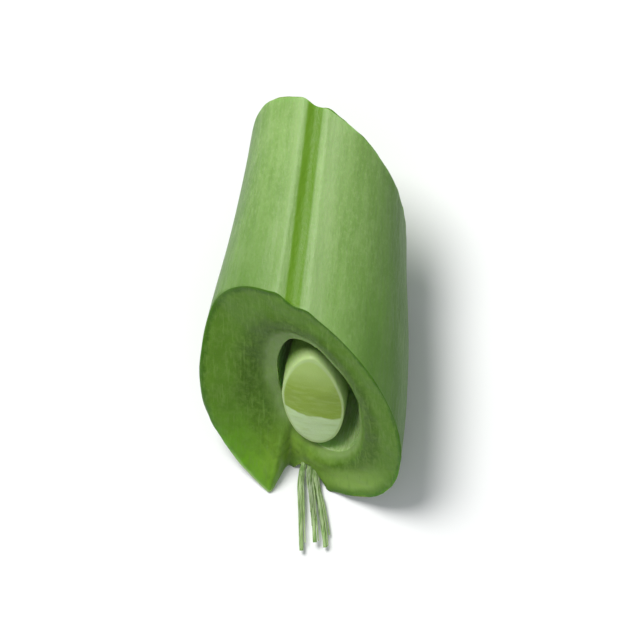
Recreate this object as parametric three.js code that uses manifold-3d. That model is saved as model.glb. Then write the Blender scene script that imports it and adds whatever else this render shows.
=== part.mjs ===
// A diagonal slice of a green bean pod, lying on its lower suture, in millimetres with +Z up.
// The pod runs along Y. Its open cut, with the seed in its chamber, faces -Y and upwards.

import * as THREE from 'three';
import { mergeVertices } from 'three/addons/utils/BufferGeometryUtils.js';
import Module from 'manifold-3d';

// Driving dimensions: the pod
const LEFT = { halfWidth: 5.5, narrowing: 0.3 };
const RIGHT = { halfWidth: 6.1, narrowing: 0.23 };
const HALF_HEIGHT = 5.2;
const ROUNDNESS = 2.12;
const LOWERING = 0.12;
const NARROW_FROM = -2;
const NARROW_TO = 14;

// Driving dimensions: the two sutures, each a groove between two low ridges
const UPPER_SUTURE = {
  x: 0, ridgeHeight: 0.1, ridgeOffset: 1.0, ridgeSpread: 0.4, grooveDepth: 0.14, grooveSpread: 0.5,
};
const LOWER_SUTURE = {
  x: 0.6, ridgeHeight: 0.16, ridgeOffset: 1.0, ridgeSpread: 0.5, grooveDepth: 0.28, grooveSpread: 0.42,
};

// How far below the middle of the pod its own weight flattens the lower ridges
const REST_DEPTH = 5.1;

// Driving dimensions: the two diagonal cuts
const SLICE_LENGTH = 11.3;
const NEAR_CUT = { slopeX: -0.5, slopeZ: 0.76 };
const FAR_CUT = { slopeX: -0.36, slopeZ: 0.76 };
const LIP_LENGTH = 2.1;
const LIP_ANGLES = [150, 205, 253, 265];
const LIP_START = 0.35;

// Driving dimensions: the chamber and its seed, which the knife has turned a little
const CHAMBER = { centre: [1.2, 0.3, -0.3], radii: [2.45, 5.6, 3.5], leanDegrees: 8 };
const SEED = { centre: [1.0, 0.3, -0.52], radii: [1.75, 4.6, 2.85], leanDegrees: 0 };
const SEED_CUT = { slopeX: -0.15, slopeZ: 0.76, recess: 0.3 };

// Driving dimensions: the split in the lower suture and the strings that hang out of it
const NOTCH = { halfWidth: 1.05, depth: 1.2, rim: -4.3, length: 2.6 };
const STRING_RADIUS = 0.13;
const STRINGS = {
  string_left: [[0.25, -4.3, 0.42], [0.34, -5.2, 0.44], [0.52, -6.7, 0.4], [0.72, -8.2, 0.34]],
  string_middle: [[0.75, -4.3, 0.46], [0.98, -5.2, 0.56], [1.2, -6.4, 0.56], [1.42, -7.7, 0.5]],
  string_right: [[1.15, -4.7, 0.32], [1.4, -5.5, 0.38], [1.72, -6.7, 0.36], [1.98, -7.9, 0.3]],
};

// The middle of the slice's box, seen from above, measured from the middle of the cut face
const MIDDLE = { x: 0.382, y: 3.434 };

// Mesh fineness and room for the cutting bodies
const SECTION_POINTS = 64;
const SUTURE_CROWDING = 0.36;
const BLANK_ENDS = [-10, 18];
const BLANK_STEPS = 16;
const CUT_GRID = 26;
const CUTTER_REACH = 24;
const CUTTER_SIDE = 16;
const CUTTER_DEPTH = 2;
const BALL_SEGMENTS = [36, 22];
const STRING_SIDES = 8;
const STRING_STEPS = 12;
const MERGE_DISTANCE = 1e-4;

const COLOURS = {
  pod: { color: 0x7fa352, roughness: 0.5 },
  seed: { color: 0xa3b568, roughness: 0.45 },
  string: { color: 0xb9c7a0, roughness: 0.6 },
};

const wasm = await Module();
wasm.setup();

function smoothstep(from, to, value) {
  return THREE.MathUtils.smoothstep(value, from, to);
}

// The two halves of the pod differ a little
function sideOf(x) {
  return x < 0 ? LEFT : RIGHT;
}

// The height of a suture's relief above the plain oval
function sutureRelief(suture, x) {
  const aside = Math.abs(x - suture.x);
  const ridge = suture.ridgeHeight * Math.exp(-(((aside - suture.ridgeOffset) / suture.ridgeSpread) ** 2));
  const groove = suture.grooveDepth * Math.exp(-((aside / suture.grooveSpread) ** 2));
  return ridge - groove;
}

// A point of the pod's section. Angle 90 is the upper suture, and the pod rests near angle 270.
function sectionPoint(angle) {
  const c = Math.cos(angle);
  const s = Math.sin(angle);
  const power = 2 / ROUNDNESS;
  const x = sideOf(c).halfWidth * Math.sign(c) * Math.abs(c) ** power;
  const oval = HALF_HEIGHT * Math.abs(s) ** power;
  const suture = s > 0 ? UPPER_SUTURE : LOWER_SUTURE;
  const z = Math.sign(s) * (oval + sutureRelief(suture, x) * Math.abs(s));
  return new THREE.Vector2(x, Math.max(z, -REST_DEPTH));
}

// Section angles lie closer together at the two sutures, where the relief is
function sectionAngle(step) {
  const even = (step / SECTION_POINTS) * Math.PI * 2;
  return even + SUTURE_CROWDING * Math.sin(2 * even);
}

// The slice narrows away from the seed, and its lower suture stays straight
function taper(position) {
  for (let i = 0; i < position.count; i += 1) {
    const along = smoothstep(NARROW_FROM, NARROW_TO, position.getY(i));
    const z = position.getZ(i);
    const x = position.getX(i);
    position.setX(i, x * (1 - sideOf(x).narrowing * along));
    position.setZ(i, z > 0 ? z * (1 - LOWERING * along) : z);
  }
}

function podBlank() {
  const points = [];
  for (let step = 0; step < SECTION_POINTS; step += 1) {
    points.push(sectionPoint(sectionAngle(step)));
  }
  const [near, far] = BLANK_ENDS;
  const blank = new THREE.ExtrudeGeometry(new THREE.Shape(points), {
    depth: far - near,
    steps: BLANK_STEPS,
    bevelEnabled: false,
  });
  blank.rotateX(Math.PI / 2);
  blank.translate(0, far, 0);
  taper(blank.getAttribute('position'));
  return blank;
}

// Where the open cut lies along the pod: a slanted plane, with a lip that hangs on at the lower left
function nearCut(x, z) {
  const angle = (THREE.MathUtils.radToDeg(Math.atan2(z, x)) + 360) % 360;
  const radius = Math.hypot(x / sideOf(x).halfWidth, z / HALF_HEIGHT);
  const [riseFrom, riseTo, fallFrom, fallTo] = LIP_ANGLES;
  const around = smoothstep(riseFrom, riseTo, angle) * (1 - smoothstep(fallFrom, fallTo, angle));
  const lip = LIP_LENGTH * around * smoothstep(LIP_START, 1, radius);
  return NEAR_CUT.slopeX * x + NEAR_CUT.slopeZ * z - lip;
}

function farCut(x, z) {
  return SLICE_LENGTH + FAR_CUT.slopeX * x + FAR_CUT.slopeZ * z;
}

// The seed's own cut lies at another slant, so it stands a little out on the left and in on the right
function seedCut(x, z) {
  const [middle] = SEED.centre;
  const start = NEAR_CUT.slopeX * middle + SEED_CUT.slopeX * (x - middle);
  return start + SEED_CUT.slopeZ * z + SEED_CUT.recess;
}

// A block that fills the space beyond a cut surface, towards -Y or +Y
function cutter(surface, side, grid) {
  const block = new THREE.BoxGeometry(CUTTER_SIDE, CUTTER_DEPTH, CUTTER_SIDE, grid, 1, grid);
  const position = block.getAttribute('position');
  for (let i = 0; i < position.count; i += 1) {
    const onCut = Math.sign(position.getY(i)) === -side;
    const y = onCut ? surface(position.getX(i), position.getZ(i)) : side * CUTTER_REACH;
    position.setY(i, y);
  }
  return block;
}

function leaningOval({ centre, radii, leanDegrees }) {
  const oval = new THREE.SphereGeometry(1, ...BALL_SEGMENTS);
  oval.scale(...radii);
  oval.rotateY(-THREE.MathUtils.degToRad(leanDegrees));
  oval.translate(...centre);
  return oval;
}

// A wedge under the lower suture, deepest at the cut and running out along the pod.
// Its triangle is twice the size of the notch, so that its lower half stays below the pod.
function notchWedge() {
  const { halfWidth, depth, rim, length } = NOTCH;
  const slope = Math.atan2(depth, length);
  const triangle = new THREE.Shape([
    new THREE.Vector2(-2 * halfWidth, -depth),
    new THREE.Vector2(2 * halfWidth, -depth),
    new THREE.Vector2(0, depth),
  ]);
  const wedge = new THREE.ExtrudeGeometry(triangle, { depth: 2 * length, bevelEnabled: false });
  wedge.rotateX(Math.PI / 2);
  wedge.translate(0, length, -depth);
  wedge.rotateX(-slope);
  wedge.translate(LOWER_SUTURE.x, rim, depth - HALF_HEIGHT);
  return wedge;
}

function stringTube(points) {
  const curve = new THREE.CatmullRomCurve3(points.map(([x, y, height]) => (
    new THREE.Vector3(x, y, height - REST_DEPTH)
  )));
  const round = [];
  for (let side = 0; side < STRING_SIDES; side += 1) {
    const angle = (side / STRING_SIDES) * Math.PI * 2;
    round.push(new THREE.Vector2(STRING_RADIUS * Math.cos(angle), STRING_RADIUS * Math.sin(angle)));
  }
  return new THREE.ExtrudeGeometry(new THREE.Shape(round), { steps: STRING_STEPS, extrudePath: curve });
}

// Joining and cutting need closed bodies whose shared corners are merged
function toSolid(geometry) {
  const bare = geometry.clone();
  bare.deleteAttribute('normal');
  bare.deleteAttribute('uv');
  const merged = mergeVertices(bare, MERGE_DISTANCE);
  return new wasm.Manifold(new wasm.Mesh({
    numProp: 3,
    vertProperties: new Float32Array(merged.getAttribute('position').array),
    triVerts: new Uint32Array(merged.getIndex().array),
  }));
}

function toGeometry(solid) {
  const { vertProperties, triVerts } = solid.getMesh();
  const geometry = new THREE.BufferGeometry();
  geometry.setAttribute('position', new THREE.BufferAttribute(vertProperties, 3));
  geometry.setIndex(new THREE.BufferAttribute(triVerts, 1));
  geometry.computeVertexNormals();
  return geometry;
}

function piece(name, solid, look) {
  const mesh = new THREE.Mesh(toGeometry(solid), new THREE.MeshStandardMaterial({ metalness: 0, ...look }));
  mesh.name = name;
  return mesh;
}

// The pod: one grown wall, open at the chamber and split at the lower suture
function makePod() {
  const cuts = [
    cutter(nearCut, -1, CUT_GRID),
    cutter(farCut, 1, 1),
    leaningOval(CHAMBER),
    notchWedge(),
  ];
  const pod = cuts.reduce((solid, cut) => solid.subtract(toSolid(cut)), toSolid(podBlank()));
  return piece('pod', pod, COLOURS.pod);
}

// The seed, sliced with the pod and lying in its chamber
function makeSeed() {
  const seed = toSolid(leaningOval(SEED)).subtract(toSolid(cutter(seedCut, -1, 1)));
  return piece('seed', seed, COLOURS.seed);
}

function makeStrings() {
  return Object.entries(STRINGS).map(([name, points]) => (
    piece(name, toSolid(stringTube(points)), COLOURS.string)
  ));
}

const slice = new THREE.Group();
slice.add(makePod(), makeSeed(), ...makeStrings());
slice.position.set(-MIDDLE.x, -MIDDLE.y, REST_DEPTH);

export default slice;
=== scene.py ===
# A diagonal slice of a green bean pod with its cut seed and the loose strings of its suture.
# Shapes are worked out in millimetres around the middle of the open cut, and place() turns
# them into metres in the part's frame. The pod runs along Y, and the open cut faces -Y and up.

import math

import bpy
import numpy as np
from mathutils import Matrix, Vector


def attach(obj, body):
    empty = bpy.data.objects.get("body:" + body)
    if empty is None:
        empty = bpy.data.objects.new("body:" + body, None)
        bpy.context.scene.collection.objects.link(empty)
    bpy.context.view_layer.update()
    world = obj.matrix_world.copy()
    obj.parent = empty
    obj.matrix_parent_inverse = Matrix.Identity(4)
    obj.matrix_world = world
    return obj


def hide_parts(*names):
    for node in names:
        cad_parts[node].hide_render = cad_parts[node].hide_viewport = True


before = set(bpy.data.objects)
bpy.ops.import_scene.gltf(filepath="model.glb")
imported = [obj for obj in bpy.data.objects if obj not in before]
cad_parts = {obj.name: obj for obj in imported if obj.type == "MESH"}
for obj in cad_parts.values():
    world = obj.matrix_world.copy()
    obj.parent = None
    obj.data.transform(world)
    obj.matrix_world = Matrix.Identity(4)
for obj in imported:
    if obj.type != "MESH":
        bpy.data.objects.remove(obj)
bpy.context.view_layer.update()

MM = 0.001

# The pod's section and how it narrows
LEFT = {"half_width": 5.5, "narrowing": 0.3}
RIGHT = {"half_width": 6.1, "narrowing": 0.23}
HALF_HEIGHT = 5.2
ROUNDNESS = 2.12
LOWERING = 0.12
NARROWING_Y = (-2.0, 14.0)
REST_DEPTH = 5.1

# The two sutures, each a groove between two low ridges
UPPER_SUTURE = {
    "x": 0.0, "ridge_height": 0.1, "ridge_offset": 1.0, "ridge_spread": 0.4,
    "groove_depth": 0.14, "groove_spread": 0.5,
}
LOWER_SUTURE = {
    "x": 0.6, "ridge_height": 0.16, "ridge_offset": 1.0, "ridge_spread": 0.5,
    "groove_depth": 0.28, "groove_spread": 0.42,
}

# The two cuts. A slope is how far a cut moves along the pod for each step in x and in z, and the
# far middle is the x and z of the point that the far cut's rows close in on.
SLICE_LENGTH = 11.3
NEAR_SLOPE = (-0.5, 0.76)
FAR_SLOPE = (-0.36, 0.76)
FAR_MIDDLE = (0.1, 0.0)

# The lip at the lower left of the open cut, in degrees around the pod and shares of its radius
LIP_LENGTH = 2.1
LIP_RISE = (150, 205)
LIP_FALL = (253, 265)
LIP_RADIUS = (0.35, 1.0)

# The split in the lower suture, at the lower end of the open cut
NOTCH_HALF_WIDTH = 1.05
NOTCH_DEPTH = 1.2
NOTCH_RIM = -4.3
NOTCH_LENGTH = 2.6
NOTCH_BLUNTNESS = 1.7

# The chamber, and how its edge is rolled into the pod, square to the open cut: less at the top,
# and from further out where the chamber flares
CHAMBER = {"centre": (1.2, 0.3, -0.3), "radii": (2.45, 5.6, 3.5), "lean": math.radians(8)}
ROLLED_EDGE = 0.45
ROLLED_TOP = 0.12
ROLLED_TOP_Z = (1.4, 2.8)
ROLL_DEPTH = 0.14
ROLL_START = 0.8
ROLL_START_FLARED = 0.55
INTO_THE_POD = np.array([0.37, 0.74, -0.56])
FLARE_ANGLE = 150
FLARE_SPREAD = 42

# The seed, which lies a little lower than in the solid part and falls away behind its cut
SEED = {"centre": (1.0, 0.3, -0.52), "radii": (1.75, 4.6, 2.85), "lean": 0.0}
SEED_SLOPE = (-0.15, 0.76)
SEED_RECESS = 0.3
SEED_DROP = 0.18
SEED_FALL = 0.7
SEED_FALL_LENGTH = 1.6
SEED_NARROWING = 0.25
SEED_NARROWING_CURVE = 1.5
SEED_DOME = 0.22
SEED_TIP_RISE = 0.1

# The strings, as x, y and height above the surface that the slice lies on
STRINGS = {
    "string_left": [(0.25, -4.3, 0.42), (0.34, -5.2, 0.44), (0.52, -6.7, 0.4), (0.72, -8.2, 0.34)],
    "string_middle": [(0.75, -4.3, 0.46), (0.98, -5.2, 0.56), (1.2, -6.4, 0.56), (1.42, -7.7, 0.5)],
    "string_right": [(1.15, -4.7, 0.32), (1.4, -5.5, 0.38), (1.72, -6.7, 0.36), (1.98, -7.9, 0.3)],
}
STRING_ROOT_Y = -2.9
STRING_ROOT_Z = -4.3
STRING_RADIUS = 0.16
STRING_SIDES = 10
STRING_STEPS = 56
STRING_LIFT = 0.01

# The thin fibres that run along each string. Their ends are counted in steps of the string.
THIN_COUNT = 8
THIN_RADIUS = 0.05
THIN_SIDES = 7
THIN_STARTS = (0, 14)
THIN_STOPS = (36, 56)
THIN_DRIFT = 0.16
THIN_ASIDE = 0.17
THIN_RAISED = 0.06

# How every fibre tapers and varies
FIBRE_TAPER = 0.35
FIBRE_UNEVENNESS = 0.22
FIBRE_CELL = 0.5
FIBRE_FLATNESS = 0.7

# The middle of the slice's box, seen from above
MIDDLE = (0.382, 3.434)

# Relief by chance, each layer as height, cell, field of chance and stretch
EVEN = (1, 1, 1)
SKIN_SWELL = [(0.07, 2.4, 1, (1, 1.6, 1)), (0.025, 0.7, 2, (1, 3, 1))]
FACE_SWELL = [(0.05, 0.9, 3, EVEN), (0.02, 0.35, 4, EVEN)]
CREASE_WANDER = [(0.12, 0.8, 5, EVEN)]
SEED_CUT_SWELL = [(0.03, 0.7, 6, EVEN)]
SEED_BACK_SWELL = [(0.03, 1.5, 7, EVEN)]
STRING_FIELDS = {"string_left": 40, "string_middle": 50, "string_right": 60}

# The ridge and the hollow around the chamber, in shares of the way from the skin to the chamber
RING_RELIEF = 0.05
RING_RIDGE, RING_RIDGE_SPREAD = 0.84, 0.06
RING_HOLLOW, RING_HOLLOW_SPREAD = 0.62, 0.14

# The crease in the middle of the far cut, where the two halves of the pod meet
CREASE_DEPTH = 0.09
CREASE_SPREAD = 0.17
CREASE_LEAN = 0.08
CREASE_FADE_Z = (1.4, 3.2)

# Mesh fineness
AROUND = 288
SUTURE_CROWDING = 0.36
SKIN_ROWS = 150
FACE_ROWS = 44
CHAMBER_ROWS = 36
FAR_ROWS = 40
SEED_BACK_ROWS = 33
SEED_CUT_ROWS = 30
EDGE_STEPS = (0.0, 0.006, 0.014, 0.026)
OVAL_EDGE_SHARES = (0.985, 0.994, 1.0)
SOFT_ROWS = 2
SOFTNESS = 0.8
SOFTENINGS = 3
SETTLE_STEPS = 12
BISECTIONS = 40
SHORTEST_NORMAL = 1e-9

# Every draw of chance starts from this seed and the number of its field
RANDOM_SEED = 11
FIELD_SIZE = 24


def smoothstep(start, end, value):
    t = np.clip((value - start) / (end - start), 0, 1)
    return t * t * (3 - 2 * t)


def rising(value, limits):
    """From 0 at the first limit to 1 at the second."""
    return smoothstep(*limits, value)


def falling(value, limits):
    """From 1 at the first limit to 0 at the second."""
    return 1 - smoothstep(*limits, value)


def bump_curve(distance, spread):
    return np.exp(-((distance / spread) ** 2))


def chance(points, cell, field, stretch=EVEN):
    """Smooth noise between -1 and 1, whose features are about one cell across."""
    draws = np.random.default_rng(RANDOM_SEED + field)
    values = draws.uniform(-1, 1, (FIELD_SIZE, FIELD_SIZE, FIELD_SIZE))
    scaled = points / (cell * np.array(stretch))
    base = np.floor(scaled).astype(int)
    part = scaled - base
    part = part * part * (3 - 2 * part)
    total = np.zeros(points.shape[:-1])
    for corner in np.ndindex(2, 2, 2):
        index = tuple((base[..., k] + corner[k]) % FIELD_SIZE for k in range(3))
        weight = np.prod([part[..., k] if corner[k] else 1 - part[..., k] for k in range(3)], axis=0)
        total += weight * values[index]
    return total


def swell(points, layers):
    return sum(height * chance(points, cell, field, stretch) for height, cell, field, stretch in layers)


# The pod's outline


def side_value(x, key):
    """The two halves of the pod differ a little."""
    return np.where(x < 0, LEFT[key], RIGHT[key])


def suture_relief(suture, x):
    aside = np.abs(x - suture["x"])
    ridge = suture["ridge_height"] * bump_curve(aside - suture["ridge_offset"], suture["ridge_spread"])
    return ridge - suture["groove_depth"] * bump_curve(aside, suture["groove_spread"])


def evenly_around():
    return np.arange(AROUND) / AROUND * math.tau


def section():
    """The x and z of the pod's untapered outline, with points crowded at the two sutures."""
    even = evenly_around()
    angle = even + SUTURE_CROWDING * np.sin(2 * even)
    c, s = np.cos(angle), np.sin(angle)
    power = 2 / ROUNDNESS
    x = side_value(c, "half_width") * np.sign(c) * np.abs(c) ** power
    oval = HALF_HEIGHT * np.abs(s) ** power
    relief = np.where(s > 0, suture_relief(UPPER_SUTURE, x), suture_relief(LOWER_SUTURE, x))
    z = np.sign(s) * (oval + relief * np.abs(s))
    return x, np.maximum(z, -REST_DEPTH)


def tapered(x, y, z):
    along = rising(y, NARROWING_Y)
    narrowed = x * (1 - side_value(x, "narrowing") * along)
    return narrowed, np.where(z > 0, z * (1 - LOWERING * along), z)


def lip_share(x, z):
    """How far the lip at the lower left of the open cut hangs on, from 0 to 1."""
    angle = np.degrees(np.arctan2(z, x)) % 360
    radius = np.hypot(x / side_value(x, "half_width"), z / HALF_HEIGHT)
    return rising(angle, LIP_RISE) * falling(angle, LIP_FALL) * rising(radius, LIP_RADIUS)


def near_cut(x, z):
    return NEAR_SLOPE[0] * x + NEAR_SLOPE[1] * z - LIP_LENGTH * lip_share(x, z)


def notch(x, z):
    """The split in the lower suture, a blunt wedge that runs out along the pod."""
    rise = (z + HALF_HEIGHT) / NOTCH_DEPTH
    aside = np.abs(x - LOWER_SUTURE["x"]) / NOTCH_HALF_WIDTH
    return NOTCH_RIM + NOTCH_LENGTH * (1 - rise - aside ** NOTCH_BLUNTNESS)


def near_surface(x, z):
    return np.maximum(near_cut(x, z), notch(x, z))


def far_surface(x, z):
    return SLICE_LENGTH + FAR_SLOPE[0] * x + FAR_SLOPE[1] * z


def seed_surface(x, z):
    middle = SEED["centre"][0]
    start = NEAR_SLOPE[0] * middle + SEED_SLOPE[0] * (x - middle)
    return start + SEED_SLOPE[1] * z + SEED_RECESS


def rim(x, z, surface):
    """Where the outline meets a cut surface, on the tapered pod."""
    y = surface(x, z)
    for _ in range(SETTLE_STEPS):
        y = surface(*tapered(x, y, z))
    return y


# Leaning ovals


def into_oval(oval, points):
    """Turns points into the coordinates in which the oval is a ball of radius 1."""
    moved = points - np.array(oval["centre"])
    c, s = math.cos(oval["lean"]), math.sin(oval["lean"])
    x = moved[..., 0] * c + moved[..., 2] * s
    z = -moved[..., 0] * s + moved[..., 2] * c
    return np.stack([x, moved[..., 1], z], -1) / np.array(oval["radii"])


def out_of_oval(oval, points):
    wide = points * np.array(oval["radii"])
    c, s = math.cos(oval["lean"]), math.sin(oval["lean"])
    x = wide[..., 0] * c - wide[..., 2] * s
    z = wide[..., 0] * s + wide[..., 2] * c
    return np.stack([x, wide[..., 1], z], -1) + np.array(oval["centre"])


FAR_POLE = np.array([0.0, 1.0, 0.0])


def oval_edge(oval, surface, towards_x, towards_z):
    """Where an oval meets a cut surface, on rays from its middle towards the given points."""
    middle_x, _, middle_z = oval["centre"]
    inside, outside = np.zeros(towards_x.shape), np.ones(towards_x.shape)
    for _ in range(BISECTIONS):
        share = (inside + outside) / 2
        x = middle_x + share * (towards_x - middle_x)
        z = middle_z + share * (towards_z - middle_z)
        point = np.stack([x, surface(x, z), z], -1)
        within = np.linalg.norm(into_oval(oval, point), axis=-1) < 1
        inside, outside = np.where(within, share, inside), np.where(within, outside, share)
    return point


def oval_shares(count):
    """Shares from just beside the far pole to 1, which crowd at the cut edge."""
    return np.concatenate([np.linspace(0, 1, count + 1)[1:-1], OVAL_EDGE_SHARES])


def oval_rows(oval, edge, shares):
    """Rows over the oval from its far pole, at share 0, to the edge row, at share 1."""
    start = into_oval(oval, edge)
    start /= np.linalg.norm(start, axis=-1, keepdims=True)
    spread = np.arccos(np.clip(start @ FAR_POLE, -1, 1))[:, None]
    rows = []
    for share in shares:
        turned = np.sin((1 - share) * spread) * FAR_POLE + np.sin(share * spread) * start
        rows.append(out_of_oval(oval, turned / np.sin(spread)))
    return rows


# Meshes made of closed rows between two end points


def all_round(values):
    """One value for each row, repeated around it."""
    return np.repeat(np.asarray(values, float)[:, None], AROUND, axis=1)


def close_rows(count, both_ends):
    """Shares from 0 to 1 that crowd at the start, or at both ends, where an edge is rounded."""
    steps = np.array(EDGE_STEPS)
    inner = np.linspace(steps[-1], 1 - steps[-1], count)[1:-1]
    end = (1 - steps)[::-1] if both_ends else [1.0]
    return np.concatenate([steps, inner, end])


def cut_rows(start, end, shares, surface):
    """Rows over a cut surface, from one x and z outline at share 0 to another at share 1."""
    rows = []
    for share in shares:
        x = start[0] + share * (end[0] - start[0])
        z = start[1] + share * (end[1] - start[1])
        rows.append(np.stack([x, surface(x, z), z], -1))
    return rows


def row_normals(rows):
    """Outward normals, for rows that run away from the far pole of the chamber."""
    along = np.gradient(rows, axis=0)
    around = np.roll(rows, -1, axis=1) - np.roll(rows, 1, axis=1)
    normals = np.cross(around, along)
    return normals / np.maximum(np.linalg.norm(normals, axis=-1, keepdims=True), SHORTEST_NORMAL)


def soften_edges(rows, edges):
    """Rounds the rows beside each of the numbered edge rows."""
    weights = np.zeros(len(rows))
    for edge in edges:
        weights[edge - SOFT_ROWS:edge + SOFT_ROWS + 1] = SOFTNESS
    rows = rows.copy()
    for _ in range(SOFTENINGS):
        middle = (rows[:-2] + rows[2:]) / 2
        rows[1:-1] += weights[1:-1, None, None] * (middle - rows[1:-1])
    return rows


def place(points):
    shift = np.array([-MIDDLE[0], -MIDDLE[1], REST_DEPTH])
    return (points + shift) * MM


def smooth_mesh(name, corners, faces):
    mesh = bpy.data.meshes.new(name)
    mesh.from_pydata(place(corners).tolist(), [], faces)
    mesh.polygons.foreach_set("use_smooth", [True] * len(faces))
    mesh.update()
    return mesh


def row_mesh(name, rows, first, last, band_slots, attributes):
    """A closed mesh from rows of equal length and an end point at either side."""
    count = len(rows)
    corners = np.concatenate([rows.reshape(-1, 3), [first, last]])
    first_index, last_index = count * AROUND, count * AROUND + 1
    nexts = [(k + 1) % AROUND for k in range(AROUND)]
    faces = [(first_index, nexts[k], k) for k in range(AROUND)]
    for row in range(count - 1):
        low, high = row * AROUND, (row + 1) * AROUND
        faces += [(low + k, low + nexts[k], high + nexts[k], high + k) for k in range(AROUND)]
    high = (count - 1) * AROUND
    faces += [(last_index, high + k, high + nexts[k]) for k in range(AROUND)]
    mesh = smooth_mesh(name, corners, faces)
    mesh.polygons.foreach_set("material_index", np.repeat(band_slots, AROUND).tolist())
    for key, values in attributes.items():
        ends = [values[0].mean(), values[-1].mean()]
        flat = np.concatenate([values.reshape(-1), ends])
        mesh.attributes.new(key, "FLOAT", "POINT").data.foreach_set("value", flat)
    return mesh


def show(name, mesh, materials, node):
    piece = bpy.data.objects.new(name, mesh)
    bpy.context.scene.collection.objects.link(piece)
    for material in materials:
        mesh.materials.append(material)
    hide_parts(node)
    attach(piece, "root")


# Materials


class Tree:
    """One material's nodes, built with short calls. Lengths in it are millimetres."""

    def __init__(self, name):
        self.material = bpy.data.materials.new(name)
        self.material.use_nodes = True
        self.nodes = self.material.node_tree.nodes
        self.links = self.material.node_tree.links
        self.shader = self.nodes["Principled BSDF"]
        coordinates = self.node("ShaderNodeTexCoord").outputs["Object"]
        self.here = self.vector("MULTIPLY", coordinates, (1 / MM, 1 / MM, 1 / MM))

    def node(self, kind, inputs=None, **settings):
        made = self.nodes.new(kind)
        for key, value in settings.items():
            setattr(made, key, value)
        for key, value in (inputs or {}).items():
            self.feed(made.inputs[key], value)
        return made

    def feed(self, socket, value):
        if isinstance(value, bpy.types.NodeSocket):
            self.links.new(value, socket)
        else:
            socket.default_value = value

    def vector(self, operation, a, b):
        return self.node("ShaderNodeVectorMath", {0: a, 1: b}, operation=operation).outputs[0]

    def maths(self, operation, a, b):
        return self.node("ShaderNodeMath", {0: a, 1: b}, operation=operation).outputs[0]

    def times(self, a, b):
        return self.maths("MULTIPLY", a, b)

    def plus(self, a, b):
        return self.maths("ADD", a, b)

    def attribute(self, name):
        return self.node("ShaderNodeAttribute", attribute_name=name).outputs["Fac"]

    def noise(self, cell, detail, roughness, stretch=EVEN):
        where = self.vector("DIVIDE", self.here, tuple(cell * s for s in stretch))
        inputs = {"Vector": where, "Scale": 1.0, "Detail": detail, "Roughness": roughness}
        return self.node("ShaderNodeTexNoise", inputs).outputs[0]

    def wander(self, cell, detail, roughness, reach):
        """Noise around 0, to move the border between two colours."""
        return self.times(self.maths("SUBTRACT", self.noise(cell, detail, roughness), 0.5), reach)

    def cells(self, cell, stretch):
        where = self.vector("DIVIDE", self.here, tuple(cell * s for s in stretch))
        made = self.node("ShaderNodeTexVoronoi", {"Vector": where, "Scale": 1.0}, feature="F1")
        return made.outputs["Distance"]

    def remap(self, value, low, high, new_low=0.0, new_high=1.0):
        inputs = {"Value": value, "From Min": low, "From Max": high, "To Min": new_low, "To Max": new_high}
        made = self.node("ShaderNodeMapRange", inputs, interpolation_type="SMOOTHSTEP")
        return made.outputs["Result"]

    def ramp(self, value, stops):
        made = self.node("ShaderNodeValToRGB", {"Fac": value})
        elements = made.color_ramp.elements
        while len(elements) < len(stops):
            elements.new(0.5)
        for element, (position, colour) in zip(elements, stops):
            element.position = position
            element.color = (*colour, 1)
        return made.outputs["Color"]

    def mix(self, share, a, b):
        made = self.node("ShaderNodeMix", data_type="RGBA")
        for socket, value in ((0, share), (6, a), (7, b)):
            if isinstance(value, tuple):
                value = (*value, 1)
            self.feed(made.inputs[socket], value)
        return made.outputs[2]

    def bump(self, height, distance, strength, under=None):
        inputs = {"Height": height, "Distance": distance * MM, "Strength": strength}
        if under is not None:
            inputs["Normal"] = under
        return self.node("ShaderNodeBump", inputs).outputs["Normal"]

    def finish(self, colour, roughness, normal, **uniform):
        self.feed(self.shader.inputs["Base Color"], colour)
        self.feed(self.shader.inputs["Roughness"], roughness)
        self.feed(self.shader.inputs["Normal"], normal)
        for key, value in uniform.items():
            self.shader.inputs[key.replace("_", " ")].default_value = value
        return self.material


SKIN_DEEP = (0.058, 0.155, 0.009)
SKIN_MID = (0.23, 0.39, 0.105)
SKIN_PALE = (0.33, 0.49, 0.185)
SKIN_STRIPE = (0.115, 0.255, 0.008)
SKIN_RIDGE_HIGHLIGHT = (0.37, 0.53, 0.23)
# The pale marks' colour in the painted shade of the belly
SKIN_PALE_SHADED = (0.13, 0.27, 0.04)


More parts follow.
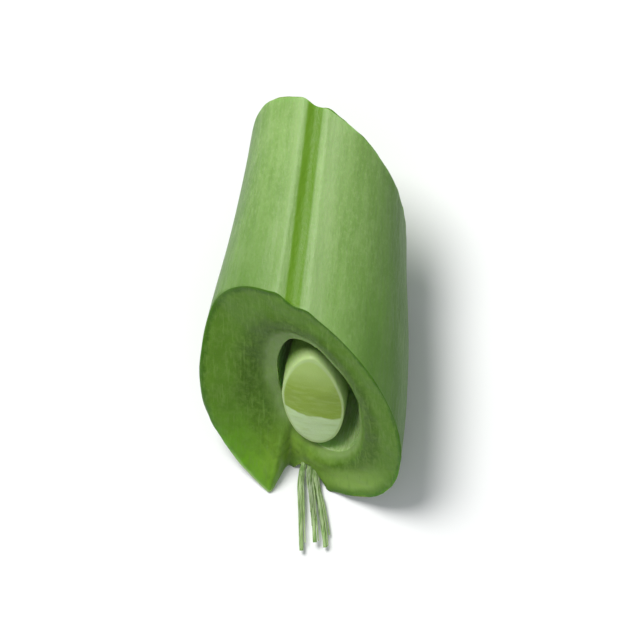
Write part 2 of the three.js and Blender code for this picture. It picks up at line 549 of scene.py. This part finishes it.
def skin_material():
    tree = Tree("pod_skin")
    belly = tree.attribute("belly")
    stripe = tree.attribute("stripe")
    patches = tree.noise(2.6, 2, 0.5, (1, 2.2, 1))
    veins = tree.noise(0.5, 3, 0.6, (1, 9, 1))
    clouds = tree.noise(0.8, 4, 0.7, (1, 1.5, 1))
    grain = tree.noise(0.16, 4, 0.7, (1, 1.6, 1))
    pores = tree.cells(0.22, (1, 2.2, 1))

    # Deeper green in broad patches, and painted shade towards the belly
    darkness = tree.plus(tree.times(patches, 0.5), belly)
    colour = tree.mix(tree.remap(darkness, 0.1, 0.8), SKIN_MID, SKIN_DEEP)

    # Pale veins, clouds, grain and pores, in a darker pale where the belly's shade is painted
    pale_here = tree.mix(tree.remap(belly, 0.1, 0.9), SKIN_PALE, SKIN_PALE_SHADED)
    for paleness in (
        tree.remap(veins, 0.42, 0.7, 0.0, 0.3), tree.remap(clouds, 0.45, 0.7, 0.0, 0.36),
        tree.remap(grain, 0.45, 0.72, 0.0, 0.42), tree.remap(pores, 0.05, 0.16, 0.35, 0.0),
    ):
        colour = tree.mix(paleness, colour, pale_here)

    # The sutures, a painted highlight on the ridges beside them, and painted shade on the flanks and near
    # the cut
    colour = tree.mix(tree.times(tree.attribute("ridge"), 0.6), colour, SKIN_RIDGE_HIGHLIGHT)
    colour = tree.mix(tree.attribute("shade"), colour, SKIN_DEEP)
    colour = tree.mix(tree.times(stripe, 0.96), colour, SKIN_STRIPE)

    rough = tree.plus(tree.times(grain, 0.3), 0.27)
    normal = tree.bump(tree.plus(grain, tree.times(pores, 0.6)), 0.036, 0.65)
    beside = tree.maths("SUBTRACT", 1.0, stripe)
    normal = tree.bump(tree.times(veins, beside), 0.07, 0.65, normal)
    return tree.finish(
        colour, rough, normal,
        Subsurface_Weight=0.2, Subsurface_Radius=(0.45, 1.0, 0.2), Subsurface_Scale=0.8 * MM,
        Specular_IOR_Level=0.24,
    )


FLESH_RIM = (0.05, 0.135, 0.006)
FLESH_OUTER = (0.09, 0.20, 0.014)
FLESH_MIDDLE = (0.058, 0.13, 0.007)
FLESH_INNER = (0.10, 0.19, 0.03)
FLESH_FAR = (0.135, 0.27, 0.038)
FLESH_HEART = (0.085, 0.185, 0.016)
FLESH_CREASE = (0.30, 0.42, 0.19)
FLESH_ROOT = (0.20, 0.35, 0.035)
FLESH_TIP_HIGHLIGHT = (0.42, 0.58, 0.26)
FLESH_LINING = (0.18, 0.28, 0.09)
FLESH_PALE = (0.15, 0.27, 0.05)
FLESH_LIT_LOBE = (0.28, 0.46, 0.095)
FLESH_LIT_LIP = (0.12, 0.33, 0.006)


def flesh_material():
    tree = Tree("pod_flesh")
    ring = tree.attribute("ring")
    mottle = tree.noise(0.35, 4, 0.65)
    fine = tree.noise(0.09, 3, 0.7)
    scratches = tree.noise(0.14, 2, 0.5, (1, 12, 5))

    # Rings from the rim to the chamber on the near cut, and to the heart on the far one
    where = tree.plus(ring, tree.wander(0.9, 3, 0.6, 0.14))
    flared = tree.times(tree.attribute("flare"), tree.remap(ring, 0.5, 0.9, 0.0, 0.12))
    colour = tree.ramp(tree.plus(where, flared), [
        (0.0, FLESH_RIM), (0.05, FLESH_RIM), (0.1, FLESH_OUTER), (0.4, FLESH_OUTER),
        (0.58, FLESH_MIDDLE), (0.8, FLESH_MIDDLE), (0.87, FLESH_INNER), (0.94, FLESH_LINING),
    ])
    heart = tree.mix(tree.remap(where, 0.4, 0.75), FLESH_FAR, FLESH_HEART)
    colour = tree.mix(tree.attribute("far"), colour, heart)

    # Pale mottling
    colour = tree.mix(tree.remap(mottle, 0.42, 0.7, 0.0, 0.45), colour, FLESH_PALE)
    colour = tree.mix(tree.remap(fine, 0.52, 0.72, 0.0, 0.3), colour, FLESH_PALE)

    # Painted light on the lower right lobe, the lip painted bright as lit, a brighter, greener patch at
    # the root of the strings, and the crease
    halfway = tree.times(tree.remap(where, 0.08, 0.26), tree.remap(where, 0.5, 0.78, 0.75, 0.0))
    colour = tree.mix(tree.times(tree.attribute("lobe"), halfway), colour, FLESH_LIT_LOBE)
    patchy = tree.remap(tree.noise(0.5, 4, 0.7, (1, 2, 1)), 0.35, 0.62, 0.45, 1.0)
    # Painted light on the thin lip at the lower left
    colour = tree.mix(tree.times(tree.attribute("lip"), patchy), colour, FLESH_LIT_LIP)
    colour = tree.mix(tree.times(tree.attribute("root"), patchy), colour, FLESH_ROOT)
    broken = tree.remap(tree.noise(0.6, 3, 0.6), 0.3, 0.6, 0.45, 1.0)
    fading = tree.times(tree.attribute("crease"), broken)
    colour = tree.mix(tree.times(fading, 0.7), colour, FLESH_CREASE)

    # Fine scratches, a painted highlight along the edge of the lip's tip, and the skin's green edge
    colour = tree.mix(tree.remap(scratches, 0.54, 0.7, 0.0, 0.45), colour, FLESH_PALE)
    tip_highlight = tree.times(tree.attribute("tip"), tree.remap(ring, 0.02, 0.1, 0.75, 0.0))
    colour = tree.mix(tip_highlight, colour, FLESH_TIP_HIGHLIGHT)
    skin_edge = tree.times(tree.remap(ring, 0.01, 0.065, 0.8, 0.0), tree.attribute("green_edge"))
    colour = tree.mix(skin_edge, colour, FLESH_RIM)

    rough = tree.remap(mottle, 0.3, 0.7, 0.32, 0.52)
    normal = tree.bump(scratches, 0.03, 0.6, tree.bump(mottle, 0.034, 0.6))
    return tree.finish(
        colour, rough, normal,
        Subsurface_Weight=0.35, Subsurface_Radius=(0.5, 1.0, 0.2), Subsurface_Scale=1.0 * MM,
        Specular_IOR_Level=0.2,
    )


LINING_EDGE = (0.27, 0.42, 0.14)
LINING_PALE = (0.40, 0.54, 0.26)
LINING_LIT_FLARE = (0.52, 0.68, 0.36)
LINING_MIDDLE = (0.38, 0.54, 0.22)
LINING_DEEP_SHADE = (0.18, 0.31, 0.08)


def lining_material():
    tree = Tree("pod_lining")
    fibres = tree.noise(0.2, 3, 0.6, (1, 6, 1))
    # Paler at the chamber's edge, with painted shade deeper into the chamber
    colour = tree.ramp(tree.attribute("depth"), [
        (0.0, LINING_EDGE), (0.1, LINING_EDGE), (0.25, LINING_MIDDLE), (0.7, LINING_DEEP_SHADE),
    ])
    # Painted light on the flared upper left of the chamber's edge
    colour = tree.mix(tree.times(tree.attribute("flare"), 0.9), colour, LINING_LIT_FLARE)
    colour = tree.mix(tree.times(tree.remap(fibres, 0.4, 0.7), 0.25), colour, LINING_PALE)
    rough = tree.remap(fibres, 0.3, 0.7, 0.18, 0.36)
    return tree.finish(
        colour, rough, tree.bump(fibres, 0.04, 0.5),
        Subsurface_Weight=0.8, Subsurface_Radius=(0.6, 1.0, 0.35), Subsurface_Scale=2.2 * MM,
        Coat_Weight=0.3, Coat_Roughness=0.12,
    )


SEED_COAT = (0.42, 0.56, 0.24)
SEED_BACK_SHADE = (0.19, 0.31, 0.07)
SEED_TOP = (0.38, 0.53, 0.15)
SEED_MIDDLE = (0.24, 0.36, 0.035)
SEED_LOWER = (0.52, 0.68, 0.36)


def seed_material():
    tree = Tree("seed_flesh")
    bands = tree.noise(0.22, 3, 0.6, (7, 1, 1))
    grain = tree.noise(0.1, 3, 0.6)

    # The pale lower part meets the green one at a sharp border
    height = tree.plus(tree.attribute("height"), tree.wander(0.9, 2, 0.5, 0.05))
    colour = tree.ramp(height, [
        (0.0, SEED_LOWER), (0.385, SEED_LOWER), (0.4, SEED_MIDDLE), (0.62, SEED_MIDDLE), (0.82, SEED_TOP),
    ])
    colour = tree.mix(tree.times(tree.remap(bands, 0.4, 0.7), 0.35), colour, SEED_TOP)

    # The coat around the cut, and painted shade on the back in the chamber
    colour = tree.mix(tree.remap(tree.attribute("ring"), 0.9, 0.95), colour, SEED_COAT)
    colour = tree.mix(tree.remap(tree.attribute("back"), 0.01, 0.16), colour, SEED_BACK_SHADE)

    rough = tree.remap(grain, 0.3, 0.7, 0.28, 0.45)
    return tree.finish(
        colour, rough, tree.bump(tree.plus(grain, bands), 0.03, 0.6),
        Subsurface_Weight=0.4, Subsurface_Radius=(0.7, 1.0, 0.3), Subsurface_Scale=0.8 * MM,
        Specular_IOR_Level=0.3,
    )


STRING_PALE = (0.35, 0.49, 0.22)
STRING_GREEN = (0.15, 0.27, 0.065)


def string_material():
    tree = Tree("string_fibre")
    fibres = tree.noise(0.08, 2, 0.6, (1, 12, 1))
    colour = tree.mix(tree.remap(fibres, 0.35, 0.65), STRING_GREEN, STRING_PALE)
    rough = tree.remap(fibres, 0.3, 0.7, 0.3, 0.5)
    return tree.finish(
        colour, rough, tree.bump(fibres, 0.03, 0.8),
        Subsurface_Weight=0.5, Subsurface_Radius=(0.8, 1.0, 0.5), Subsurface_Scale=0.4 * MM,
    )


# The pod

SKIN_SLOT, FLESH_SLOT, LINING_SLOT = 0, 1, 2
SLOT_OF_PART = {"chamber": LINING_SLOT, "face": FLESH_SLOT, "skin": SKIN_SLOT, "far": FLESH_SLOT}

# Where the pod changes colour, as ranges of x, of z, of the way along it and of the way aside
STRIPE_ASIDE = (0.36, 0.52)
# The painted highlights on the ridges beside the sutures
LEFT_RIDGE_HIGHLIGHT = {"x": -0.85, "spread": 0.35, "share": 0.6}
RIGHT_RIDGE_HIGHLIGHT = {"x": 1.15, "spread": 0.6, "share": 1.0}
LOWER_RIDGE_HIGHLIGHT_SHARE = 0.3
RIDGE_HIGHLIGHT_Z = (0.0, 1.0)
BELLY_SHADE_Z = (-3.0, 5.2)
NEAR_END = (0.0, 0.7)
NEAR_END_SHADE = 0.25
LEFT_SHADE = 0.22
LEFT_SHADE_X = (0.5, 2.0)
FLANK_SHADE = 0.5
FLANK_SHADE_X = (2.2, 4.8)
LIT_LOBE_X = (0.5, 2.5)
LIT_LOBE_Z = (-3.8, -1.0)
ROOT_PATCH = {"x": -0.3, "z": -3.8, "spread_x": 1.9, "spread_z": 1.1, "share": 0.85}
TIP_HIGHLIGHT_X = (-0.7, -0.2)
TIP_HIGHLIGHT_Z = (-4.9, -3.2)
LIP_EDGE_Z = (-4.6, -2.0)
LIP_LIGHT_Z = (-4.6, -1.2)


def pod_rows():
    """The pod's rows, from the chamber's far end over the face and the skin to the far cut.

    With them come the middle of the far cut, each row's part and, for every point, whether it is
    at a part and how far it is in on a cut (ring), into the chamber (depth) and along the skin.
    """
    section_x, section_z = section()
    near_y = rim(section_x, section_z, near_surface)
    far_y = rim(section_x, section_z, far_surface)
    near_x, near_z = tapered(section_x, near_y, section_z)

    edge = oval_edge(CHAMBER, near_surface, near_x, near_z)
    chamber_shares = oval_shares(CHAMBER_ROWS)
    chamber = oval_rows(CHAMBER, edge, chamber_shares)

    face_shares = close_rows(FACE_ROWS, True)[::-1][1:]
    face = cut_rows((near_x, near_z), (edge[:, 0], edge[:, 2]), face_shares, near_surface)

    skin = []
    skin_shares = close_rows(SKIN_ROWS, True)[1:]
    for share in skin_shares:
        y = near_y + share * (far_y - near_y)
        x, z = tapered(section_x, y, section_z)
        skin.append(np.stack([x, y, z], -1))

    far_shares = close_rows(FAR_ROWS, False)[1:-1]
    far = cut_rows((skin[-1][:, 0], skin[-1][:, 2]), FAR_MIDDLE, far_shares, far_surface)
    far_middle = np.array([FAR_MIDDLE[0], far_surface(*FAR_MIDDLE), FAR_MIDDLE[1]])

    parts = {"chamber": chamber, "face": face, "skin": skin, "far": far}
    part_of_row = np.repeat(list(parts), [len(part) for part in parts.values()])
    rows = np.stack(chamber + face + skin + far)
    inwards, depth, along = np.zeros(len(rows)), np.zeros(len(rows)), np.zeros(len(rows))
    inwards[part_of_row == "chamber"] = 1
    inwards[part_of_row == "face"] = face_shares
    inwards[part_of_row == "far"] = far_shares
    depth[part_of_row == "chamber"] = 1 - chamber_shares
    along[part_of_row == "skin"] = skin_shares

    at = {part: all_round(part_of_row == part) for part in parts}
    at.update(ring=all_round(inwards), depth=all_round(depth), along=all_round(along))
    edges = np.cumsum([len(chamber), len(face), len(skin)]) - 1
    return soften_edges(rows, edges), far_middle, part_of_row, at


def flare_share(rows):
    """How much the chamber's edge flares, most of all at the upper left."""
    middle_x, _, middle_z = CHAMBER["centre"]
    angle = np.degrees(np.arctan2(rows[..., 2] - middle_z, rows[..., 0] - middle_x)) % 360
    return bump_curve(angle - FLARE_ANGLE, FLARE_SPREAD)


def crease_share(rows):
    x, z = rows[..., 0], rows[..., 2]
    aside = x - FAR_MIDDLE[0] - CREASE_LEAN * z + swell(rows, CREASE_WANDER)
    return bump_curve(aside, CREASE_SPREAD) * falling(np.abs(z), CREASE_FADE_Z)


def ring_relief(ring):
    ridge = bump_curve(ring - RING_RIDGE, RING_RIDGE_SPREAD)
    hollow = bump_curve(ring - RING_HOLLOW, RING_HOLLOW_SPREAD)
    return RING_RELIEF * ridge - RING_RELIEF * hollow


def rolled_in(rows, at):
    """How far the chamber's edge is rolled into the pod."""
    start = ROLL_START - (ROLL_START - ROLL_START_FLARED) * at["flare"]
    share = at["chamber"] * falling(at["depth"], (0, ROLL_DEPTH))
    share += at["face"] * smoothstep(start, 1, at["ring"])
    top = rising(rows[..., 2], ROLLED_TOP_Z) * (1 - at["flare"])
    return share * (ROLLED_EDGE - (ROLLED_EDGE - ROLLED_TOP) * top)


def shape_pod(rows, at):
    """The rows with their relief and the rolled edge. The side that the pod rests on stays flat."""
    near_side = at["chamber"] + at["face"]
    cut_relief = ring_relief(at["ring"]) * near_side - CREASE_DEPTH * at["crease"]
    cut_swell = swell(rows, FACE_SWELL) + cut_relief
    swollen = np.where(at["skin"] > 0, swell(rows, SKIN_SWELL), cut_swell)
    rolled = rolled_in(rows, at)
    shaped = rows + swollen[..., None] * row_normals(rows) + rolled[..., None] * INTO_THE_POD
    shaped[..., 2] = np.maximum(shaped[..., 2], -REST_DEPTH)
    return shaped


def ridge_highlight_share(aside, ridge):
    return ridge["share"] * bump_curve(aside - ridge["x"], ridge["spread"])


def colour_attributes(rows, at):
    """Where each colour of the skin, the flesh and the lining lies, from 0 to 1."""
    x, z = rows[..., 0], rows[..., 2]
    aside = x - np.where(z > 0, UPPER_SUTURE["x"], LOWER_SUTURE["x"])
    ridge = np.maximum(ridge_highlight_share(aside, LEFT_RIDGE_HIGHLIGHT), ridge_highlight_share(aside, RIGHT_RIDGE_HIGHLIGHT))
    near_end = falling(at["along"], NEAR_END) * (NEAR_END_SHADE + LEFT_SHADE * rising(-x, LEFT_SHADE_X))
    root_patch = bump_curve(x - ROOT_PATCH["x"], ROOT_PATCH["spread_x"]) * bump_curve(z - ROOT_PATCH["z"], ROOT_PATCH["spread_z"])
    lip = lip_share(x, z)
    return {
        "ring": at["ring"],
        "depth": at["depth"],
        "flare": at["flare"],
        "far": at["far"],
        "crease": at["crease"],
        "shade": near_end + FLANK_SHADE * rising(x, FLANK_SHADE_X),
        # Painted light on the outer band of the lower right lobe
        "lobe": rising(x, LIT_LOBE_X) * falling(z, LIT_LOBE_Z),
        # A brighter, greener patch around the root of the strings, on the near cut
        "root": ROOT_PATCH["share"] * (at["chamber"] + at["face"]) * root_patch,
        # Painted highlight along the edge of the lip's tip
        "tip": falling(z, TIP_HIGHLIGHT_Z) * falling(x, TIP_HIGHLIGHT_X),
        "green_edge": 1 - lip * falling(z, LIP_EDGE_Z),
        # Painted light on the lip, fading upwards and left off the far cut
        "lip": lip * falling(z, LIP_LIGHT_Z) * (1 - at["far"]),
        "stripe": falling(np.abs(aside), STRIPE_ASIDE),
        # Painted highlight on the ridges beside the sutures, weaker on the lower suture
        "ridge": ridge * (LOWER_RIDGE_HIGHLIGHT_SHARE + (1 - LOWER_RIDGE_HIGHLIGHT_SHARE) * rising(z, RIDGE_HIGHLIGHT_Z)),
        # Painted shade, darker towards the belly
        "belly": falling(z, BELLY_SHADE_Z),
    }


def make_pod(materials):
    rows, far_middle, part_of_row, at = pod_rows()
    at.update(flare=flare_share(rows), crease=at["far"] * crease_share(rows))
    rows = shape_pod(rows, at)
    band_slots = [SLOT_OF_PART[part] for part in part_of_row] + [FLESH_SLOT]
    far_end = out_of_oval(CHAMBER, FAR_POLE)
    mesh = row_mesh("pod_wall", rows, far_end, far_middle, band_slots, colour_attributes(rows, at))
    show("pod_wall", mesh, materials, "pod")


# The seed

SEED_RAY = 6


def seed_rows():
    """The seed's rows, from its far pole to the middle of its cut, with each row's two shares.

    The first share is how far out the row lies on the cut, and the second how far back behind it.
    """
    centre_x, _, centre_z = SEED["centre"]
    angle = evenly_around()
    edge = oval_edge(
        SEED, seed_surface, centre_x + SEED_RAY * np.cos(angle), centre_z + SEED_RAY * np.sin(angle))
    back_shares = oval_shares(SEED_BACK_ROWS)
    back = oval_rows(SEED, edge, back_shares)
    cut_shares = (1 - close_rows(SEED_CUT_ROWS, False))[1:-1]
    cut = cut_rows((centre_x, centre_z), (edge[:, 0], edge[:, 2]), cut_shares, seed_surface)
    outwards = np.concatenate([np.ones(len(back)), cut_shares])
    backwards = np.concatenate([1 - back_shares, np.zeros(len(cut))])
    return np.stack(back + cut), outwards, backwards, len(back)


def make_seed(material):
    rows, outwards, backwards, cut_start = seed_rows()
    centre_x, _, centre_z = SEED["centre"]
    half_height = SEED["radii"][2]

    # The seed slides down along its cut, and narrows towards its top
    rows[..., 2] -= SEED_DROP
    rows[..., 1] -= SEED_SLOPE[1] * SEED_DROP
    upwards = np.clip((rows[..., 2] - centre_z) / half_height, 0, 1)
    narrowed = 1 - SEED_NARROWING * upwards ** SEED_NARROWING_CURVE
    rows[..., 0] = centre_x + (rows[..., 0] - centre_x) * narrowed
    rows = soften_edges(rows, [cut_start - 1])

    # The cut is domed, and the back falls away behind it
    ring = all_round(outwards)
    on_cut = all_round(np.arange(len(rows)) >= cut_start) > 0
    dome = SEED_DOME * (1 - ring ** 2) + swell(rows, SEED_CUT_SWELL)
    swollen = np.where(on_cut, dome, swell(rows, SEED_BACK_SWELL))
    rows = rows + swollen[..., None] * row_normals(rows)
    behind = rising(rows[..., 1] - seed_surface(rows[..., 0], rows[..., 2]), (0, SEED_FALL_LENGTH))
    rows[..., 2] -= np.where(on_cut, 0, SEED_FALL * behind * upwards)

    low = centre_z - SEED_DROP
    tip_y = seed_surface(centre_x, low) - SEED_DOME / math.hypot(1, SEED_SLOPE[1])
    tip = np.array([centre_x, tip_y, low + SEED_TIP_RISE])
    attributes = {
        "ring": ring,
        "height": (rows[..., 2] - centre_z) / half_height / 2 + 0.5,
        "back": all_round(backwards),
    }
    far_end = out_of_oval(SEED, FAR_POLE)
    mesh = row_mesh("seed_half", rows, far_end, tip, [0] * (len(rows) + 1), attributes)
    show("seed_half", mesh, [material], "seed")


# The strings


def curve_through(points, count):
    """Evenly numbered points on a smooth curve through the given ones."""
    points = np.asarray(points, float)
    padded = np.concatenate([[2 * points[0] - points[1]], points, [2 * points[-1] - points[-2]]])
    found = []
    for t in np.linspace(0, len(points) - 1, count):
        k = min(int(t), len(points) - 2)
        a, b, c, d = padded[k:k + 4]
        u = t - k
        found.append(0.5 * (2 * b + (c - a) * u + (2 * a - 5 * b + 4 * c - d) * u ** 2
                            + (3 * b - a - 3 * c + d) * u ** 3))
    return np.array(found)


def fibre(path, radius, field, sides):
    """Corners and faces of one tapering, slightly flattened fibre."""
    count = len(path)
    t = np.linspace(0, 1, count)
    unevenness = 1 + FIBRE_UNEVENNESS * chance(path, FIBRE_CELL, field)
    width = radius * (1 - FIBRE_TAPER * t ** 2) * unevenness
    along = np.gradient(path, axis=0)
    along /= np.linalg.norm(along, axis=1, keepdims=True)
    aside = np.cross(along, (0.0, 0.0, 1.0))
    aside /= np.linalg.norm(aside, axis=1, keepdims=True)
    up = np.cross(aside, along)
    angle = (np.arange(sides) / sides * math.tau)[None, :, None]
    round_path = np.cos(angle) * aside[:, None, :] + FIBRE_FLATNESS * np.sin(angle) * up[:, None, :]
    corners = path[:, None, :] + width[:, None, None] * round_path
    faces = []
    for row in range(count - 1):
        low, high = row * sides, (row + 1) * sides
        for k in range(sides):
            n = (k + 1) % sides
            faces.append((low + k, low + n, high + n, high + k))
    faces.append(tuple(range(sides))[::-1])
    faces.append(tuple((count - 1) * sides + k for k in range(sides)))
    return corners.reshape(-1, 3), faces


def make_string(name, points, material):
    """A string is one main fibre with thin ones that run along it and drift away."""
    field = STRING_FIELDS[name]
    draws = np.random.default_rng(RANDOM_SEED + field)
    lowered = [(x, y, z - REST_DEPTH) for x, y, z in points]
    root_x = (lowered[0][0] + LOWER_SUTURE["x"]) / 2
    path = curve_through([(root_x, STRING_ROOT_Y, STRING_ROOT_Z)] + lowered, STRING_STEPS)
    corners, faces = fibre(path, STRING_RADIUS, field, STRING_SIDES)
    for k in range(THIN_COUNT):
        start = draws.integers(*THIN_STARTS)
        stop = draws.integers(*THIN_STOPS)
        t = np.linspace(0, 1, stop - start)[:, None]
        drift = draws.uniform(-THIN_DRIFT, THIN_DRIFT, 3) * (1, 0, 0.5)
        shift = [draws.uniform(-THIN_ASIDE, THIN_ASIDE), 0, draws.uniform(-THIN_RAISED, THIN_RAISED)]
        thin_path = path[start:stop] + drift * t + shift
        thin, thin_faces = fibre(thin_path, THIN_RADIUS, field + k, THIN_SIDES)
        faces += [tuple(len(corners) + corner for corner in face) for face in thin_faces]
        corners = np.concatenate([corners, thin])
    corners[:, 2] = np.maximum(corners[:, 2], -REST_DEPTH + STRING_LIFT)
    show(f"{name}_fibres", smooth_mesh(name, corners, faces), [material], name)


# The floor, light and camera

FLOOR_COLOUR = (0.86, 0.87, 0.88, 1)
FLOOR_ROUGHNESS = 0.6
FLOOR_HALF = 1.5
SKY_COLOUR = (0.95, 0.98, 1.0, 1)
SKY_STRENGTH = 0.38
LIGHTS = {
    "key": {"eye": (-0.21, 0.24, 0.55), "size": 0.3, "power": 3.9, "colour": (1.0, 0.99, 0.96)},
    "fill": {"eye": (0.1, -0.45, 0.45), "size": 0.5, "power": 0.35, "colour": (0.95, 0.98, 1.0)},
}
LIT_POINT = (0, 0, 0.004)

# The camera looks down on the slice at the photograph's angle
CAMERA_LEAN = math.radians(7.5)
CAMERA_TILT = math.radians(8.0)
CAMERA_ROLL = math.radians(6.5)
CAMERA_LENS = 400.0
CAMERA_SENSOR = 36.0
CAMERA_CLIP = 0.01
VIEW_WIDTH = 0.0345
VIEW_MIDDLE = (0.0004, 0.0005, 0.004)


def make_floor():
    half = FLOOR_HALF
    corners = [(-half, -half, 0), (half, -half, 0), (half, half, 0), (-half, half, 0)]
    mesh = bpy.data.meshes.new("floor")
    mesh.from_pydata(corners, [], [(0, 1, 2, 3)])
    floor = bpy.data.objects.new("floor", mesh)
    bpy.context.scene.collection.objects.link(floor)
    material = bpy.data.materials.new("floor")
    material.use_nodes = True
    shader = material.node_tree.nodes["Principled BSDF"]
    shader.inputs["Base Color"].default_value = FLOOR_COLOUR
    shader.inputs["Roughness"].default_value = FLOOR_ROUGHNESS
    mesh.materials.append(material)


def make_sky():
    world = bpy.data.worlds.new("studio")
    world.use_nodes = True
    background = world.node_tree.nodes["Background"]
    background.inputs["Color"].default_value = SKY_COLOUR
    background.inputs["Strength"].default_value = SKY_STRENGTH
    bpy.context.scene.world = world


def make_light(name, eye, size, power, colour):
    data = bpy.data.lights.new(name, "AREA")
    data.shape = "DISK"
    data.size = size
    data.energy = power
    data.color = colour
    light = bpy.data.objects.new(name, data)
    bpy.context.scene.collection.objects.link(light)
    light.location = eye
    direction = Vector(LIT_POINT) - Vector(eye)
    light.rotation_mode = "QUATERNION"
    light.rotation_quaternion = direction.to_track_quat("-Z", "Y")


def make_camera():
    lean, tilt, roll = CAMERA_LEAN, CAMERA_TILT, CAMERA_ROLL
    flat = Vector((math.cos(lean), 0, -math.sin(lean)))
    rise = Vector((math.sin(lean) * math.sin(tilt), math.cos(tilt), math.cos(lean) * math.sin(tilt)))
    right = math.cos(roll) * flat + math.sin(roll) * rise
    up = -math.sin(roll) * flat + math.cos(roll) * rise
    back = right.cross(up)
    distance = VIEW_WIDTH * CAMERA_LENS / CAMERA_SENSOR
    data = bpy.data.cameras.new("camera")
    data.lens = CAMERA_LENS
    data.sensor_width = CAMERA_SENSOR
    data.clip_start = CAMERA_CLIP
    camera = bpy.data.objects.new("camera", data)
    bpy.context.scene.collection.objects.link(camera)
    turn = Matrix((right, up, back)).transposed().to_4x4()
    camera.matrix_world = Matrix.Translation(Vector(VIEW_MIDDLE) + back * distance) @ turn
    bpy.context.scene.camera = camera


make_pod([skin_material(), flesh_material(), lining_material()])
make_seed(seed_material())
fibre_material = string_material()
for string_name, string_points in STRINGS.items():
    make_string(string_name, string_points, fibre_material)

make_floor()
make_sky()
for light_name, light in LIGHTS.items():
    make_light(light_name, **light)
make_camera()
bpy.context.scene.view_settings.view_transform = "Standard"
